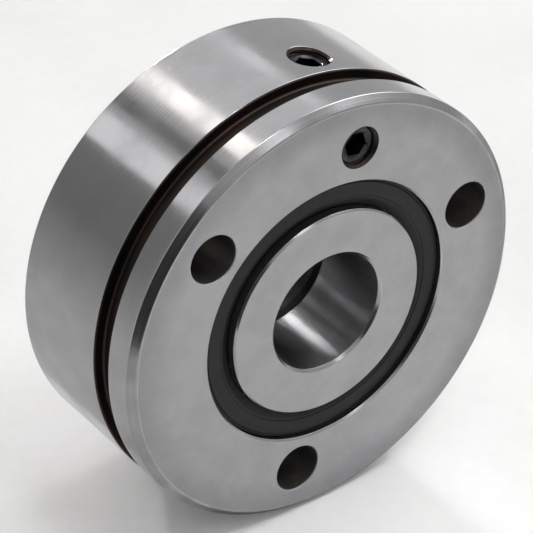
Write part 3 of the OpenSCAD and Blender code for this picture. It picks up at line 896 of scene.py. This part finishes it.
class BEARING_OT_stage(bpy.types.Operator):
    """Paper floor, soft white surroundings, lamps, cards and the camera"""

    bl_idname = "bearing.stage"
    bl_label = "Stage"

    def execute(self, context):
        scene = context.scene
        f = settings(scene.bearing_finishes)
        low = CAD_BOX[0][2]
        # Matt white paper: almost flat white, with a trace of fibre
        paper = finish("MattWhitePaper", f.floor, f.floor_shade, patch_mm=30.0, marks_mm=1.5, depth_mm=0.01,
                       rough=0.9, spread=0.04, tone=0.01, lathe=False)
        self.sheet(scene, "Floor", paper, self.level(-FLOOR_HALF, FLOOR_HALF, -FLOOR_HALF, FLOOR_HALF, low))
        world = bpy.data.worlds.new("WhiteStudio")
        world.use_nodes = True
        surroundings = world.node_tree.nodes["Background"].inputs
        surroundings["Color"].default_value = (1, 1, 1, 1)
        surroundings["Strength"].default_value = WORLD_GLOW
        scene.world = world
        # Matt grey card: even, with a trace of grain, and painted paler towards the floor: painted light that
        # grades into the lit floor it meets in mirrors
        grey = finish("MattGreyCard", f.card, f.card, patch_mm=30.0, marks_mm=5.0, depth_mm=0.01, rough=0.9,
                      spread=0.04, tone=0.02, lathe=False, fade=("height", PALE_BELOW, low / MM, PALE_BY))
        # Matt black card: the same grain
        black = finish("MattBlackCard", f.flag, f.flag, patch_mm=30.0, marks_mm=5.0, depth_mm=0.01, rough=0.9,
                       spread=0.04, tone=0.02, lathe=False)
        for name, material, corners in (
            ("GreyCard", grey, self.mirrored(*GREY_CARD, CARD_AWAY)),
            ("StripCard", grey, self.mirrored(*STRIP_CARD, CARD_AWAY)),
            ("BlackCard", black, self.facing(*BLACK_CARD)),
            # A grey sheet on the floor beside the bearing: painted shade of the floor, seen only in mirrors
            ("FloorCard", grey, self.level(*FLOOR_SHADE_CARD, low + FLOOR_SHADE_CARD_OVER)),
        ):
            card = self.sheet(scene, name, material, corners)
            card.visible_camera = card.visible_diffuse = card.visible_shadow = False
        # What a lamp shows in a mirror adds to the white world behind it
        lamps = [(glow, self.mirrored(*turns)) for glow, *turns in STRIP_LAMPS]
        lamps += [(glow, self.facing(*panel)) for glow, *panel in SQUARE_LAMPS]
        for i, (glow, corners) in enumerate(lamps):
            self.lamp(scene, f"Lamp{i + 1}", glow, corners)
        # A warm strip, the brightest on the outside
        glow, *turns = WARM_LAMP
        self.lamp(scene, "WarmLamp", glow, self.mirrored(*turns), tint=f.warm)
        # A gridded lamp behind, for a streak along the bore
        glow, *panel, spread = BORE_LAMP
        self.lamp(scene, "BoreLamp", glow, self.facing(*panel), math.radians(spread))
        # A gridded lamp over the floor in front, which the faces mirror
        glow, *panel, spread = FLOOR_LAMP
        aim = Vector((*FLOOR_LAMP_AIM, low))
        corners = [aim + corner for corner in self.facing(*panel)]
        self.lamp(scene, "FloorLamp", glow, corners, math.radians(spread))
        self.camera(scene)
        scene.view_settings.view_transform = "Standard"
        return {"FINISHED"}

    @staticmethod
    def camera(scene):
        """The camera, turned and raised about the origin, then moved back, right and up."""
        camera = bpy.data.cameras.new("Camera")
        camera.lens, camera.sensor_width = LENS, SENSOR
        turn, rise = math.radians(CAMERA_TURN), math.radians(CAMERA_RISE)
        back = Vector((math.sin(turn) * math.cos(rise), -math.cos(turn) * math.cos(rise), math.sin(rise)))
        right = Vector((math.cos(turn), math.sin(turn), 0.0))
        up = back.cross(right)
        place = (CAMERA_BACK * back + CAMERA_RIGHT * right + CAMERA_UP * up) * MM
        view = bpy.data.objects.new("Camera", camera)
        view.matrix_world = Matrix.Translation(place) @ Matrix((right, up, back)).transposed().to_4x4()
        scene.collection.objects.link(view)
        scene.camera = view

    @staticmethod
    def level(west, east, south, north, height):
        """Corners of a level panel at a height, from its four sides."""
        return [(west, south, height), (east, south, height), (east, north, height), (west, north, height)]

    @staticmethod
    def mirrored(first, last, distance=LAMP_AWAY):
        """Corners of a panel at a distance, in the directions that the outside mirrors to the
        camera: a cone about the bearing's axis, 41 degrees off its middle plane, cut at two turns."""
        turns = np.radians([first, last, last, first])
        lean = np.radians([LEAN_FIRST, LEAN_FIRST, LEAN_LAST, LEAN_LAST])
        return (distance * turned(np.cos(lean), np.sin(lean), turns)).tolist()

    @staticmethod
    def facing(way, distance, size):
        """Corners of a square panel at a distance along a way, turned to face the origin."""
        away = Vector(way).normalized()
        right = away.orthogonal().normalized() * size / 2
        up = away.cross(right)
        return [distance * away + i * right + j * up for i, j in ((-1, -1), (1, -1), (1, 1), (-1, 1))]

    @staticmethod
    def lamp(scene, name, glow, corners, spread=math.pi, tint=(1.0, 1.0, 1.0)):
        """A lamp on a panel that shines inwards: its power is pi times its glow times its area, and
        less with a grid, by one less the ratio of half the spread to its tangent."""
        corner, beside, _, over = (Vector(corner) for corner in corners)
        right, up = beside - corner, over - corner
        light = bpy.data.lights.new(name, "AREA")
        light.shape, light.size, light.size_y = "RECTANGLE", right.length, up.length
        light.spread, light.color = spread, tint
        grid = 1.0 - spread / 2 / math.tan(spread / 2)
        light.energy = math.pi * glow * light.size * light.size_y * grid
        middle = corner + (right + up) / 2
        away = right.cross(up).normalized()
        away *= math.copysign(1.0, away.dot(middle))
        right.normalize()
        turn = Matrix((right, away.cross(right), away)).transposed()
        lamp = bpy.data.objects.new(name, light)
        lamp.matrix_world = Matrix.Translation(middle) @ turn.to_4x4()
        lamp.visible_camera = False
        scene.collection.objects.link(lamp)

    @staticmethod
    def sheet(scene, name, material, corners):
        """A flat four-cornered panel of the stage."""
        mesh = bpy.data.meshes.new(name)
        mesh.from_pydata(corners, [], [(0, 1, 2, 3)])
        mesh.materials.append(material)
        panel = bpy.data.objects.new(name, mesh)
        scene.collection.objects.link(panel)
        return panel


class BEARING_PT_panel(bpy.types.Panel):
    """Buttons for the bearing's pieces and stage"""

    bl_idname = "BEARING_PT_panel"
    bl_label = "Bearing"
    bl_space_type = "VIEW_3D"
    bl_region_type = "UI"
    bl_category = "Bearing"

    def draw(self, context):
        for operator in OPERATORS:
            self.layout.operator(operator.bl_idname)
        for group in (context.scene.bearing_sizes, context.scene.bearing_finishes):
            column = self.layout.column()
            for key in type(group).__annotations__:
                column.prop(group, key)


OPERATORS = (
    BEARING_OT_outer_ring, BEARING_OT_inner_rings, BEARING_OT_seals, BEARING_OT_screws,
    BEARING_OT_inner_parts, BEARING_OT_stage,
)
CLASSES = (BearingSizes, BearingFinishes, *OPERATORS, BEARING_PT_panel)


def register():
    for cls in CLASSES:
        bpy.utils.register_class(cls)
    bpy.types.Scene.bearing_sizes = bpy.props.PointerProperty(type=BearingSizes)
    bpy.types.Scene.bearing_finishes = bpy.props.PointerProperty(type=BearingFinishes)


def unregister():
    del bpy.types.Scene.bearing_sizes, bpy.types.Scene.bearing_finishes
    for cls in reversed(CLASSES):
        bpy.utils.unregister_class(cls)


def main():
    """Makes the pieces and the stage."""
    register()
    bpy.ops.bearing.outer_ring()
    bpy.ops.bearing.inner_rings()
    bpy.ops.bearing.seals()
    bpy.ops.bearing.screws()
    bpy.ops.bearing.inner_parts()
    bpy.ops.bearing.stage()


if __name__ == "__main__":
    main()
